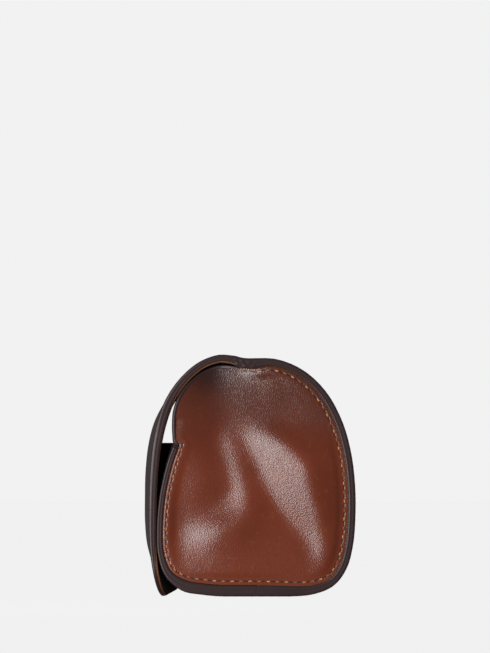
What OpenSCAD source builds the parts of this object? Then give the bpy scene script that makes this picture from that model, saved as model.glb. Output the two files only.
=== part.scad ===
// Leather carrying case for a folded pair of headphones.
// One strip of lined leather makes the front, floor, back and flap, and two soft gussets close its ends.
// +Z is up, the front faces -Y, the width runs along X, and the origin is under the middle of the case.

/* [Case] */
// Width of the case, from one painted side edge to the other
case_w = 165; // [150:1:185]
// Depth of the case, from the bulge of the flap to the back
case_d = 96; // [90:1:104]
// Height of the closed case
case_h = 110; // [104:1:118]

/* [Leather] */
// Thickness of the outer leather
leather_t = 1.7; // [1.4:0.1:1.8]
// Thickness of the leather that lines the strip
lining_t = 1.6; // [1.5:0.1:1.7]
// Thickness of a gusset's outer leather
gusset_t = 1.5; // [1.2:0.1:1.6]
// Thickness of a gusset's lining
gusset_lining_t = 0.8; // [0.6:0.1:1.0]
// Thickness of the board under the floor
board_t = 1.8; // [1.2:0.1:2.0]
// Film of glue left between two layers
glue = 0.05; // [0.03:0.01:0.08]

/* [Flap] */
// Radius of the flap's two lower corners
flap_corner_r = 14; // [6:1:20]
// How far the flap's lining stops short of its leather
lining_inset = 0.8; // [0.4:0.1:1.5]
// Share of its thickness that the flap has left at its skived tip
tip_skive = 0.66; // [0.6:0.02:1]
// Running gap between the flap and the body at the crease
hinge_gap = 0.3; // [0.3:0.1:0.6]

/* [Gussets] */
// How far a gusset sits below the painted edges
gusset_recess = 0.4; // [0.2:0.1:0.8]
// How strongly the gussets swell and fold, as a share of a well used case
fold_share = 1; // [0:0.1:1.2]

/* [Stitches] */
// Distance from one stitch to the next
stitch_pitch = 4.1; // [3.6:0.1:5]
// Length of thread that shows in one stitch
stitch_l = 1.8; // [1.4:0.1:3.2]
// Diameter of the thread
thread_d = 0.8; // [0.6:0.05:0.9]
// How far a stitch stands out of the leather
stitch_proud = 0.15; // [0.1:0.05:0.35]
// Distance of the seam from a gusset's edge
seam_in = 1.6; // [1.4:0.1:2.5]
// Distance of the seam from a free edge of the strip
margin = 4; // [3:0.5:6]

/* [Magnets] */
// Diameter of a magnet
magnet_d = 12; // [8:1:15]
// Thickness of a magnet
magnet_t = 1; // [0.8:0.1:1]
// Distance of each magnet from the middle of the case
magnet_x = 36; // [20:1:55]
// Height of the magnets above the floor, on the closed case
magnet_z = 38; // [30:1:46]

/* [Hidden] */

half_w = case_w / 2;
half_d = case_d / 2;
strip_t = leather_t + glue + lining_t;

// Outlines in the side view, as [y, z] on a case 96 deep and 110 high.
// The strip's outer face at the gussets, from the mouth down the front, under the floor and up the back.
WRAP_EDGE = [
    [-34.5, 70], [-38, 60], [-41, 47], [-42.4, 33], [-42, 19], [-38.5, 9], [-31, 2.6], [-22, 0.8], [-12, 0],
    [3, 0], [18, 0], [29, 1.1], [38, 5], [43.9, 13], [46.8, 24], [47.8, 37], [47.6, 51], [45.8, 65.5],
    [41.8, 79.6], [34.7, 92.7], [24.5, 102.5], [12, 107.8], [-2, 108.3]
];
// The same face half way between the gussets, where the front bulges out and the lower corner gives.
WRAP_MID = [
    [-40.5, 70], [-42.4, 60], [-43.5, 47], [-43.8, 33], [-43.1, 20], [-38.7, 10.4], [-28.5, 4.6],
    [-20.5, 1.4], [-12, 0], [3, 0], [18, 0], [29, 1.1], [38, 5], [43.9, 13], [46.8, 24], [47.8, 37],
    [47.6, 51], [45.8, 65.5], [41.8, 79.6], [34.7, 92.7], [24.5, 102.5], [12, 107.8], [-2, 108.3]
];
// The flap's outer face at its side edges, from the crease to its tip.
FLAP_EDGE = [
    [-2, 108.3], [-8, 109.5], [-15.5, 109.6], [-24.3, 105.9], [-32.2, 98.8], [-38.3, 89.9], [-42, 80],
    [-44.3, 69], [-45.5, 57], [-46, 45], [-46.1, 33], [-45.7, 22], [-44.1, 10.5], [-41.3, -1]
];
// The flap's outer face half way between its side edges, bulged out and curled under at the tip.
FLAP_MID = [
    [-2, 108.3], [-8, 108.7], [-15.3, 108.3], [-23.9, 105], [-31.9, 98.4], [-38.1, 89.9], [-43.5, 79.9],
    [-46.4, 69], [-47.7, 57], [-48, 45], [-47.9, 33], [-46.6, 22], [-42.5, 11], [-34, 2.4]
];
// The free edge of a gusset, from the crease forward and down to the mouth.
GUSSET_FREE = [
    [-5, 103], [-12, 104.9], [-17.4, 104], [-24.9, 100.2], [-31.2, 93], [-34.5, 85.3], [-35.2, 78],
    [-34.9, 71]
];

// How far a gusset stands out of its margin, as [y, height] along a level line every 10 mm up from the floor.
// Each line goes from the front seam over a hollow, a slack ridge, a dimple and its far wall to the swell that
// the headphones push out, and down to the back seam. Above, the soft leather is tucked in under the flap.
FOLDS = [
    [[-34, 0], [-31, 0], [-27, 0], [-22, 0], [-16, 0], [-6, 0], [20, 0], [32, 0], [36, 0]],
    [[-36, 0], [-33, 0], [-28, 0.2], [-22, 0.5], [-16, 0.7], [-6, 0.8], [24, 0.2], [34, 0.5], [39, 0]],
    [[-38.5, 0], [-35, -0.6], [-31, -0.4], [-24, 0.4], [-17, 1.2], [-8, 1.5], [27, 0.1], [36, 2], [41.5, 0]],
    [[-39.5, 0], [-35, -1.3], [-30, -0.9], [-22, 0.8], [-14, 2.4], [-6, 2.5], [20, -0.4], [34.5, 2.7], [42, 0]],
    [[-40, 0], [-35, -1.2], [-26, -0.9], [-18, -1], [-14, -0.8], [0, 1.7], [11, -0.8], [32, 3.7], [43, 0]],
    [[-39, 0], [-34, -0.9], [-24, -0.3], [-17, -0.8], [-10, -1.5], [-1, 0.3], [5, -0.9], [29, 4.2], [43, 0]],
    [[-36.5, 0], [-32, -0.6], [-23, -0.5], [-17, -1.2], [-12, -1.8], [-4, -0.3], [1, -1.1], [27, 4.7], [42.5, 0]],
    [[-34, 0], [-30, -0.3], [-25, -0.9], [-20, -1.9], [-15, -2.6], [-8, -1.4], [-3, -1.5], [16, 3], [40, 0]],
    [[-35.5, 0.5], [-30, 0.3], [-26, -0.3], [-20, -1.3], [-14, -2], [-9, -2], [-6, -1.8], [4, -1], [30, 0]],
    [[-33, 0.8], [-29, 0.2], [-25, -0.9], [-20, -2.1], [-14, -2.3], [-8, -2], [-2, -1.6], [10, -0.8], [26, 0]],
    [[-26, -1.6], [-23, -2.6], [-20, -3.4], [-16, -3.6], [-12, -3.4], [-7, -2.8], [0, -1.9], [10, -0.7], [20, 0]],
    [[-24, -2.4], [-21, -3], [-18, -3.2], [-15, -3.1], [-11, -2.6], [-6, -1.9], [0, -1.2], [7, -0.4], [13, 0]],
];
FOLDS_STEP = 10;
// Where the folds are averaged, as [offset, weight], so that they have no sharp creases.
SOFT_Y = [[-4.4, 1], [-2.2, 2], [0, 3], [2.2, 2], [4.4, 1]];
SOFT_Z = [[-4, 1], [0, 2], [4, 1]];
// Width of the flat margin along the seam, and of the slope that leads from it to the folds.
SEAM_MARGIN = 2;
SEAM_SLOPE = 4;
GUSSET_MID = [4, 52];

WRAP_MID_SHARE = 0.45;
STEPS = 3;
WRAP_LAST = len(WRAP_EDGE) - 1;
FLAP_LAST = len(FLAP_EDGE) - 1;
ACROSS = [-1, -0.9, -0.75, -0.55, -0.25, 0.25, 0.55, 0.75, 0.9, 1];

// Control points of the strip between which the board lies, and over which the strip's layers part around it.
BOARD_FROM = 4.6;
BOARD_TO = 12.8;
BOARD_RAMP_FRONT = 1.6;
BOARD_RAMP_BACK = 4;
BOARD_INSET = 0.6;
// Extra lining that bunches up inside the crease, and how many control points it takes to fade.
BUNCH_T = 1.4;
BUNCH_RAMP = 0.8;
// Share of its thickness that the front has left along its side edges, over how many control points from the
// mouth, and how far in from the side edges.
FRONT_SKIVE = 0.78;
FRONT_SKIVE_U = 3.2;
FRONT_SKIVE_RAMP = 2;
FRONT_SKIVE_W = 8;
// Swell of the flap's lining where it bends down, and the control point it is at.
SWELL_T = 0.6;
SWELL_U = 5.8;
SWELL_REACH = 2.6;
// Depth of a magnet's face below the leather's glued face, and its play in its pocket.
MAGNET_SEAT = 0.2;
MAGNET_PLAY = 0.1;

// ---- curves ----

function scaled(p) = [p[0] * case_d / 96, p[1] * case_h / 110];
function mix(a, b, t) = a + (b - a) * t;
function clamped(v, low, high) = min(max(v, low), high);
function smooth(t) = let (c = clamped(t, 0, 1)) c * c * (3 - 2 * c);
function unit(v) = v / norm(v);

// A point on a smooth curve through pts, where u counts control points.
function curve(pts, u) =
    let (
        last = len(pts) - 1,
        i = min(floor(u), last - 1),
        t = u - i,
        b = pts[i],
        c = pts[i + 1],
        a = i > 0 ? pts[i - 1] : 2 * b - c,
        d = i < last - 1 ? pts[i + 2] : 2 * c - b
    )
    0.5 * (2 * b + (c - a) * t + (2 * a - 5 * b + 4 * c - d) * t * t + (3 * b - a - 3 * c + d) * t * t * t);

// The strip's outer face: 0 at the side edges and 1 over its middle stretch.
function middle(x) = smooth((1 - abs(x) / half_w) / WRAP_MID_SHARE);

function face(edge, mid, u, x) =
    let (p = scaled(mix(curve(edge, u), curve(mid, u), middle(x))))
    [clamped(p[0], -half_d, half_d - stitch_proud), max(p[1], 0)];

// Unit vector across the strip, into the case.
function inward(edge, mid, u, x) =
    let (
        last = len(edge) - 1,
        step = 0.05,
        a = face(edge, mid, max(u - step, 0), x),
        b = face(edge, mid, min(u + step, last), x),
        t = unit(b - a)
    )
    [-t[1], t[0]];

function strip_point(edge, mid, u, x, depth) =
    let (p = face(edge, mid, u, x) + inward(edge, mid, u, x) * depth)
    [x, p[0], p[1]];

function wrap_point(u, x, depth) = strip_point(WRAP_EDGE, WRAP_MID, u, x, depth);
function flap_point(u, x, depth) = strip_point(FLAP_EDGE, FLAP_MID, u, x, depth);

// How far the board parts the floor's two layers, and how far the lining bunches at the crease.
function board_lift(u) =
    (board_t + glue) * smooth((u - BOARD_FROM) / BOARD_RAMP_FRONT) * smooth((BOARD_TO - u) / BOARD_RAMP_BACK);
function bunch(u) = BUNCH_T * smooth((u - WRAP_LAST + BUNCH_RAMP) / BUNCH_RAMP);
function wrap_inside(u) = strip_t + board_lift(u) + bunch(u);
// Share of full thickness that the body's part of the strip has left.
function wrap_share(u, x) =
    1 - (1 - FRONT_SKIVE) * smooth((FRONT_SKIVE_U - u) / FRONT_SKIVE_RAMP + 1)
        * (1 - smooth((half_w - abs(x)) / FRONT_SKIVE_W));
function flap_swell(u) = SWELL_T * exp(-pow((u - SWELL_U) / SWELL_REACH, 2));

// Length along a path of points, and the place on it at a given length.
function lengths(path) =
    [for (i = 0, s = 0; i < len(path); s = s + (i < len(path) - 1 ? norm(path[i + 1] - path[i]) : 0), i = i + 1) s];
function index_at(table, s) = lookup(s, [for (i = [0:len(table) - 1]) [table[i], i]]);
function place(path, table, s) =
    let (f = index_at(table, s), i = min(floor(f), len(path) - 2))
    mix(path[i], path[i + 1], f - i);

// ---- the flap, unrolled: distance from the crease along its side edge ----

FLAP_FINE = 8;
FLAP_PATH = [for (k = [0:FLAP_LAST * FLAP_FINE]) face(FLAP_EDGE, FLAP_MID, k / FLAP_FINE, half_w)];
FLAP_TABLE = lengths(FLAP_PATH);
FLAP_L = FLAP_TABLE[len(FLAP_TABLE) - 1];
function flap_u(s) = index_at(FLAP_TABLE, s) / FLAP_FINE;
// Half the flap's width at a distance from the crease.
function flap_half(s) =
    let (r = flap_corner_r, d = r - min(r, FLAP_L - s))
    half_w - r + sqrt(r * r - d * d);
// Share of full thickness, skived down over the last quarter.
function flap_share(s) = mix(1, tip_skive, smooth((s / FLAP_L - 0.72) / 0.28));

FLAP_STATIONS = [
    for (k = [0:26]) hinge_gap + k * (FLAP_L - flap_corner_r - hinge_gap) / 26,
    for (a = [15:15:75]) FLAP_L - flap_corner_r * (1 - sin(a)),
    FLAP_L - 0.1
];

// ---- solids from grids of points ----

// A closed sheet between two grids of the same size. a is the outer face and b the inner one.
module sheet_solid(a, b) {
    n = len(a);
    m = len(a[0]);
    function at_a(i, j) = i * m + j;
    function at_b(i, j) = n * m + i * m + j;
    points = [for (row = a) each row, for (row = b) each row];
    quads = [
        for (i = [0:n - 2], j = [0:m - 2]) [at_a(i, j), at_a(i, j + 1), at_a(i + 1, j + 1), at_a(i + 1, j)],
        for (i = [0:n - 2], j = [0:m - 2]) [at_b(i, j), at_b(i + 1, j), at_b(i + 1, j + 1), at_b(i, j + 1)],
        for (i = [0:n - 2]) [at_a(i, 0), at_a(i + 1, 0), at_b(i + 1, 0), at_b(i, 0)],
        for (i = [0:n - 2]) [at_a(i, m - 1), at_b(i, m - 1), at_b(i + 1, m - 1), at_a(i + 1, m - 1)],
        for (j = [0:m - 2]) [at_a(0, j), at_b(0, j), at_b(0, j + 1), at_a(0, j + 1)],
        for (j = [0:m - 2]) [at_a(n - 1, j), at_a(n - 1, j + 1), at_b(n - 1, j + 1), at_b(n - 1, j)]
    ];
    polyhedron(points, [for (q = quads) each [[q[0], q[1], q[2]], [q[0], q[2], q[3]]]]);
}

// A closed panel between two sets of rings, from the rim in to one middle point on each face.
module panel_solid(a, b, mid_a, mid_b) {
    k = len(a);
    n = len(a[0]);
    function at_a(r, i) = r * n + i % n;
    function at_b(r, i) = k * n + r * n + i % n;
    top = 2 * k * n;
    points = [for (ring = a) each ring, for (ring = b) each ring, mid_a, mid_b];
    quads = [
        for (r = [0:k - 2], i = [0:n - 1]) [at_a(r, i), at_a(r + 1, i), at_a(r + 1, i + 1), at_a(r, i + 1)],
        for (r = [0:k - 2], i = [0:n - 1]) [at_b(r, i), at_b(r, i + 1), at_b(r + 1, i + 1), at_b(r + 1, i)],
        for (i = [0:n - 1]) [at_a(0, i), at_a(0, i + 1), at_b(0, i + 1), at_b(0, i)]
    ];
    caps = [
        for (i = [0:n - 1]) [at_a(k - 1, i), top, at_a(k - 1, i + 1)],
        for (i = [0:n - 1]) [at_b(k - 1, i), at_b(k - 1, i + 1), top + 1]
    ];
    polyhedron(points, [for (q = quads) each [[q[0], q[1], q[2]], [q[0], q[2], q[3]]], each caps]);
}

// One stitch of thread, lying at p along v.
module stitch(p, v) {
    translate(p)
        rotate([0, acos(v[2] / norm(v)), atan2(v[1], v[0])])
            cylinder(d = thread_d, h = stitch_l, center = true, $fn = 16);
}

// A row of stitches along a path of points.
module stitch_row(path) {
    table = lengths(path);
    total = table[len(table) - 1];
    count = floor(total / stitch_pitch);
    first = (total - (count - 1) * stitch_pitch) / 2;
    for (k = [0:count - 1]) {
        s = first + k * stitch_pitch;
        stitch(place(path, table, s), place(path, table, s + 0.5) - place(path, table, s - 0.5));
    }
}

// ---- the strip: front, floor, back and top ----

WRAP_STATIONS = [for (k = [0:WRAP_LAST * STEPS]) k / STEPS];

module wrap_sheet(outer, inner) {
    sheet_solid(
        [for (u = WRAP_STATIONS) [for (f = ACROSS)
            wrap_point(u, f * half_w, outer[round(u * STEPS)] * wrap_share(u, f * half_w))]],
        [for (u = WRAP_STATIONS) [for (f = ACROSS)
            wrap_point(u, f * half_w, inner[round(u * STEPS)] * wrap_share(u, f * half_w))]]
    );
}

// The stretches of the two outlines that run down the front, as first and last control points.
WRAP_FRONT = [0, 4];
FLAP_FRONT = [5, 12];

// Two discs between the strip's layers, standing on the face at the given depth.
module discs(edge, mid, front, depth, d, h) {
    for (x = [-magnet_x, magnet_x]) {
        u = lookup(-magnet_z, [for (k = [front[0]:0.25:front[1]]) [-face(edge, mid, k, x)[1], k]]);
        n = inward(edge, mid, u, x);
        translate(strip_point(edge, mid, u, x, depth))
            rotate([0, acos(n[1]), 90])
                cylinder(d = d, h = h, $fn = 48);
    }
}

// Pockets for the magnets, let into a lining from its glued face.
module pockets(edge, mid, front) {
    discs(edge, mid, front, leather_t - MAGNET_SEAT, magnet_d + 2 * MAGNET_PLAY, magnet_t + 2 * MAGNET_SEAT + MAGNET_PLAY);
}

module wrap_leather() {
    color("saddlebrown")
        wrap_sheet([for (u = WRAP_STATIONS) 0], [for (u = WRAP_STATIONS) leather_t]);
}

module wrap_lining() {
    color("dimgray")
        difference() {
            wrap_sheet(
                [for (u = WRAP_STATIONS) leather_t + glue + board_lift(u)],
                [for (u = WRAP_STATIONS) wrap_inside(u)]
            );
            pockets(WRAP_EDGE, WRAP_MID, WRAP_FRONT);
        }
}

module base_board() {
    stations = [for (u = WRAP_STATIONS) if (board_lift(u) > 0.2 && u > BOARD_FROM && u < BOARD_TO) u];
    color("tan")
        sheet_solid(
            [for (u = stations) [for (f = ACROSS) wrap_point(u, f * (half_w - BOARD_INSET), leather_t + glue)]],
            [for (u = stations) [for (f = ACROSS)
                wrap_point(u, f * (half_w - BOARD_INSET), leather_t + board_lift(u))]]
        );
}

// ---- the gussets ----

// The rim as [y, z, held], where held is 1 where the rim is sewn down and 0 along its free edge.
GUSSET_RIM = [
    for (u = WRAP_STATIONS) if (u < WRAP_LAST - 0.2)
        let (p = wrap_point(u, half_w, gusset_depth(u))) [p[1], p[2], 1],
    for (k = [0:(len(GUSSET_FREE) - 1) * 2])
        let (p = scaled(curve(GUSSET_FREE, k / 2))) [p[0], p[1], held_at(k / 2)]
];
RINGS = [1, 0.955, 0.91, 0.85, 0.77, 0.67, 0.56, 0.44, 0.31, 0.17];

function gusset_depth(u) = wrap_inside(u) * wrap_share(u, half_w) + 2 * glue;
function held_at(u) = max(1 - smooth(u / 1.5), 1 - smooth((len(GUSSET_FREE) - 1 - u) / 0.6));

// How far a gusset stands out of its margin at [y, z].
function folds(y, z) = lookup(y, curve(FOLDS, clamped(z / FOLDS_STEP, 0, len(FOLDS) - 1)));
function sum(list, i = 0) = i < len(list) ? list[i] + sum(list, i + 1) : 0;
function relief(p) =
    let (y = p[0] * 96 / case_d, z = p[1] * 110 / case_h)
    fold_share / 36 * sum([for (a = SOFT_Y, b = SOFT_Z) a[1] * b[1] * folds(y + a[0], z + b[0])]);

function gusset_point(p, scale, depth) =
    let (
        c = scaled(GUSSET_MID),
        q = mix(c, [p[0], p[1]], scale),
        inset = norm([p[0], p[1]] - c) * (1 - scale),
        held = p[2] * (1 - smooth((inset - SEAM_MARGIN) / SEAM_SLOPE))
    )
    [half_w - gusset_recess - depth + relief(q) * (1 - held), q[0], q[1]];

function ring(scale, depth) = [for (p = GUSSET_RIM) gusset_point(p, scale, depth)];

module gusset_layer(outer, inner) {
    c = scaled(GUSSET_MID);
    panel_solid(
        [for (k = RINGS) ring(k, outer)],
        [for (k = RINGS) ring(k, inner)],
        gusset_point([c[0], c[1], 0], 0, outer),
        gusset_point([c[0], c[1], 0], 0, inner)
    );
}

module gusset_leather() {
    color("sienna") gusset_layer(0, gusset_t);
}

module gusset_lining() {
    color("darkslategray") gusset_layer(gusset_t + glue, gusset_t + glue + gusset_lining_t);
}

module gusset_right() {
    gusset_leather();
}

module gusset_left() {
    mirror([1, 0, 0]) gusset_leather();
}

module gusset_lining_right() {
    gusset_lining();
}

module gusset_lining_left() {
    mirror([1, 0, 0]) gusset_lining();
}

// ---- thread ----

SEAM_FINE = 4;
// Depth of a stitch's centre line in the leather.
STITCH_SUNK = thread_d / 2 - stitch_proud;

// The seam shows as one row on the gusset's face and one on the outside of the strip.
module seam_thread() {
    last = WRAP_LAST * SEAM_FINE - 1;
    face_row = [for (k = [1:last])
        let (u = k / SEAM_FINE, p = wrap_point(u, half_w, gusset_depth(u) + seam_in))
        [half_w - gusset_recess - STITCH_SUNK, p[1], p[2]]];
    outer_row = [for (k = [1:last])
        let (p = wrap_point(k / SEAM_FINE, half_w - margin, STITCH_SUNK))
        [p[0], p[1], max(p[2], thread_d / 2)]];
    color("peru") {
        stitch_row(face_row);
        stitch_row(outer_row);
    }
}

module seam_thread_right() {
    seam_thread();
}

module seam_thread_left() {
    mirror([1, 0, 0]) seam_thread();
}

module mouth_thread() {
    row_u = 0.36;
    span = half_w - 2 * margin;
    color("peru")
        stitch_row([for (k = [-20:20]) wrap_point(row_u, k / 20 * span, STITCH_SUNK)]);
}

// Round the flap's free edges, margin mm in from them.
module flap_thread() {
    r = flap_corner_r - margin;
    side = half_w - margin;
    turn = FLAP_L - margin - r;
    half_path = [
        for (k = [0:24]) [margin + k * (turn - margin) / 25, side],
        for (a = [0:10:90]) [turn + r * sin(a), side - r * (1 - cos(a))],
        for (k = [1:12]) [turn + r, (side - r) * (1 - k / 12)]
    ];
    left_path = [for (k = [len(half_path) - 2:-1:0]) [half_path[k][0], -half_path[k][1]]];
    color("peru")
        stitch_row([for (p = concat(half_path, left_path)) flap_point(flap_u(p[0]), p[1], STITCH_SUNK)]);
}

// ---- the flap ----

module flap_sheet(outer, inner, inset, swell) {
    stations = [for (s = FLAP_STATIONS) min(s, FLAP_L - max(inset, 0.1))];
    sheet_solid(
        [for (s = stations) [for (f = ACROSS)
            flap_point(flap_u(s), f * (flap_half(s) - inset), outer * flap_share(s))]],
        [for (s = stations) [for (f = ACROSS)
            flap_point(flap_u(s), f * (flap_half(s) - inset), inner * flap_share(s) + swell * flap_swell(flap_u(s)))]]
    );
}

module flap_leather() {
    color("brown") flap_sheet(0, leather_t, 0, 0);
}

module flap_lining() {
    color("gray")
        difference() {
            flap_sheet(leather_t + glue, strip_t, lining_inset, 1);
            pockets(FLAP_EDGE, FLAP_MID, FLAP_FRONT);
        }
}

// ---- the closure ----

module body_magnets() {
    color("silver")
        discs(WRAP_EDGE, WRAP_MID, WRAP_FRONT, leather_t + MAGNET_SEAT, magnet_d, magnet_t);
}

module flap_magnets() {
    color("silver")
        discs(FLAP_EDGE, FLAP_MID, FLAP_FRONT, leather_t + MAGNET_SEAT, magnet_d, magnet_t);
}

wrap_leather();
wrap_lining();
base_board();
gusset_left();
gusset_right();
gusset_lining_left();
gusset_lining_right();
seam_thread_left();
seam_thread_right();
mouth_thread();
body_magnets();
flap_leather();
flap_lining();
flap_thread();
flap_magnets();
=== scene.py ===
"""Looks of the leather headphone case: leather, lining, painted edges and thread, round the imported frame."""
import math

import bpy
import numpy as np
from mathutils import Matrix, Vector


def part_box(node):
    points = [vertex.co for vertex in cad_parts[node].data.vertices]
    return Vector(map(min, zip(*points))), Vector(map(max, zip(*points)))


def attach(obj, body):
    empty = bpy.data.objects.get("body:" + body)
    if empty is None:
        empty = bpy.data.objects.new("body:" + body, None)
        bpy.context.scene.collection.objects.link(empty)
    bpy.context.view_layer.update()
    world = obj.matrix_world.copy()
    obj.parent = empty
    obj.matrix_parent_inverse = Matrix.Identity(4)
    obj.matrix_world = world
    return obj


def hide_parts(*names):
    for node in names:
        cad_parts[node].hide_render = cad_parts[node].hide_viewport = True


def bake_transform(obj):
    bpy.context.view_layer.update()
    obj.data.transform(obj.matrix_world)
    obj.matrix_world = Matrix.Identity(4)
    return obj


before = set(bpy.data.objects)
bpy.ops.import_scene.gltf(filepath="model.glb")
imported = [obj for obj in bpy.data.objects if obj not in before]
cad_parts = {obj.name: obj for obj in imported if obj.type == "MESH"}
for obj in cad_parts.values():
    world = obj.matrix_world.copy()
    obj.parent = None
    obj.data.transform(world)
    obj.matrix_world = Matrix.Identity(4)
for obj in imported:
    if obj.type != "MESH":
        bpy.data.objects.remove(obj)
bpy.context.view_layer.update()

# ---- sizes in millimetres; the case's own size comes from the frame ----

MM = 0.001
HALF_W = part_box("wrap_leather")[1].x / MM
LEATHER_T = 1.7
LINING_T = 1.6
GLUE = 0.05
STRIP_T = LEATHER_T + GLUE + LINING_T
BOARD_T = 1.8
BUNCH_T = 1.4            # lining that bunches up inside the crease
BUNCH_REACH = 7.0
TIP_SKIVE = 0.66         # share of its thickness that the flap has left at its tip
FLAP_CORNER_R = 14.0
MOUTH_CORNER_R = 2.0
LINING_INSET = 0.35      # the flap lining's natural edge, set back from the paint
NATURAL_T = 0.7          # how much of the flap lining's edge is left unpainted
LAYER_TRIM = 0.5         # how far the layers stop short of the painted edge's outside
GUSSET_T = 1.5
GUSSET_LINING_T = 0.8
GUSSET_RECESS = 0.4
SEAM_IN = 1.6            # from a gusset's edge to its seam
MARGIN = 4.0             # from a free edge to its seam
PITCH = 4.1              # from stitch to stitch
STITCH_L = 1.5
THREAD_D = 0.62
OUTER_SINK = 0.3         # how much deeper the stitches lie in the strip than in a gusset

# Outlines in the side view, as [y, z]. The strip's outer face at its side edges comes first: from the mouth
# down the front, under the floor, up the back, over the crease and down the flap to its tip.
STRIP_EDGE = [
    [-34.5, 70], [-38, 60], [-41, 47], [-42.4, 33], [-42, 19], [-38.5, 9], [-31, 2.6], [-22, 0.8],
    [-12, 0], [3, 0], [18, 0], [29, 1.1], [38, 5], [43.9, 13], [46.8, 24], [47.8, 37],
    [47.6, 51], [45.8, 65.5], [41.8, 79.6], [34.7, 92.7], [24.5, 102.5], [12, 107.8], [-2, 108.3],
    [-8, 109.5], [-15.5, 109.6], [-24.3, 105.9], [-32.2, 98.8], [-38.3, 89.9], [-42, 80],
    [-44.3, 69], [-45.5, 57], [-46, 45], [-46.1, 33], [-45.7, 22], [-44.1, 10.5], [-41.3, -1.0],
]
# The same face half way along the case, where the front and the flap bulge out and the lower corner gives.
STRIP_MID = [
    [-40.5, 70], [-42.4, 60], [-43.5, 47], [-43.8, 33], [-43.1, 20], [-38.7, 10.4], [-28.5, 4.6],
    [-20.5, 1.4], [-12, 0], [3, 0], [18, 0], [29, 1.1], [38, 5], [43.9, 13], [46.8, 24], [47.8, 37],
    [47.6, 51], [45.8, 65.5], [41.8, 79.6], [34.7, 92.7], [24.5, 102.5], [12, 107.8], [-2, 108.3],
    [-8, 108.7], [-15.3, 108.3], [-23.9, 105], [-31.9, 98.4], [-38.1, 89.9], [-43.5, 79.9],
    [-46.4, 69], [-47.7, 57], [-48, 45], [-47.9, 33], [-46.6, 22], [-42.5, 11], [-34, 2.4],
]
# A gusset's free edge under the flap, from the crease to the mouth.
GUSSET_FREE = [
    [-5, 104.2], [-12, 104.9], [-17.4, 104], [-24.9, 100.2], [-31.2, 93], [-34.5, 85.3], [-35.2, 78],
    [-34.9, 71],
]
GUSSET_MID = np.array([4.0, 52.0])
MID_SHARE = 0.45
FLOOR_CUT_U = 9          # control point under the case where the strip's two pieces meet
CREASE_U = 22
BOARD_FROM_U, BOARD_TO_U = 4.6, 12.8
BOARD_RAMP_FRONT, BOARD_RAMP_BACK = 1.6, 4.0   # the board is skived thin at its front and back
SWELL_T, SWELL_U, SWELL_REACH = 0.6, 27.8, 2.6  # lining that parts from the flap's leather over its bend
FRONT_SKIVE = 0.78       # share of its thickness that the front has left at its side edges
FRONT_SKIVE_U = 3.2
FRONT_SKIVE_W = 8.0
LAST_U = len(STRIP_EDGE) - 1

# How far a gusset stands out of its margin, as [y, height] along a level line every 10 mm up from the floor.
# Each line goes from the front seam over a hollow, a slack ridge, a dimple and its far wall to the swell that
# the headphones push out, and down to the back seam. Above, the soft leather is tucked in under the flap.
FOLDS = [
    [[-34, 0], [-31, 0], [-27, 0], [-22, 0], [-16, 0],
     [-6, 0], [20, 0], [32, 0], [36, 0]],
    [[-36, 0], [-33, 0], [-28, 0.2], [-22, 0.5], [-16, 0.7],
     [-6, 0.8], [24, 0.2], [34, 0.5], [39, 0]],
    [[-38.5, 0], [-35, -0.6], [-31, -0.4], [-24, 0.4], [-17, 1.2],
     [-8, 1.5], [27, 0.1], [36, 2], [41.5, 0]],
    [[-39.5, 0], [-35, -1.3], [-30, -0.9], [-22, 0.8], [-14, 2.4],
     [-6, 2.5], [20, -0.4], [34.5, 2.7], [42, 0]],
    [[-40, 0], [-35, -1.2], [-26, -0.9], [-18, -1], [-14, -0.8],
     [0, 1.7], [11, -0.8], [32, 3.7], [43, 0]],
    [[-39, 0], [-34, -0.9], [-24, -0.3], [-17, -0.8], [-10, -1.5],
     [-1, 0.3], [5, -0.9], [29, 4.2], [43, 0]],
    [[-36.5, 0], [-32, -0.6], [-23, -0.5], [-17, -1.2], [-12, -1.8],
     [-4, -0.3], [1, -1.1], [27, 4.7], [42.5, 0]],
    [[-34, 0], [-30, -0.3], [-25, -0.9], [-20, -1.9], [-15, -2.6],
     [-8, -1.4], [-3, -1.5], [16, 3], [40, 0]],
    [[-35.5, 0.5], [-30, 0.3], [-26, -0.3], [-20, -1.3], [-14, -2],
     [-9, -2], [-6, -1.8], [4, -1], [30, 0]],
    [[-33, 0.8], [-29, 0.2], [-25, -0.9], [-20, -2.1], [-14, -2.3],
     [-8, -2], [-2, -1.6], [10, -0.8], [26, 0]],
    [[-26, -1.6], [-23, -2.6], [-20, -3.4], [-16, -3.6], [-12, -3.4],
     [-7, -2.8], [0, -1.9], [10, -0.7], [20, 0]],
    [[-24, -2.4], [-21, -3], [-18, -3.2], [-15, -3.1], [-11, -2.6],
     [-6, -1.9], [0, -1.2], [7, -0.4], [13, 0]],
]
FOLDS_STEP = 10
SOFT_Y = (-4.4, -2.2, 0, 2.2, 4.4)   # where the folds are averaged, so that they have no sharp creases
SOFT_Z = (-4, 0, 4)
SEAM_MARGIN, SEAM_SLOPE = 2.0, 4.0   # the flat margin along the seam, and the slope on to the folds


# ---- curves ----

def smooth(t):
    t = np.clip(t, 0, 1)
    return t * t * (3 - 2 * t)


def curve(points, u):
    """A smooth curve through points, where u counts control points."""
    p = np.asarray(points, float)
    p = np.vstack([2 * p[0] - p[1], p, 2 * p[-1] - p[-2]])
    u = np.asarray(u, float)
    i = np.clip(np.floor(u).astype(int), 0, len(points) - 2)
    t = (u - i)[..., None]
    a, b, c, d = p[i], p[i + 1], p[i + 2], p[i + 3]
    square = 2 * a - 5 * b + 4 * c - d
    cube = 3 * b - a - 3 * c + d
    return 0.5 * (2 * b + (c - a) * t + square * t ** 2 + cube * t ** 3)


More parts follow.
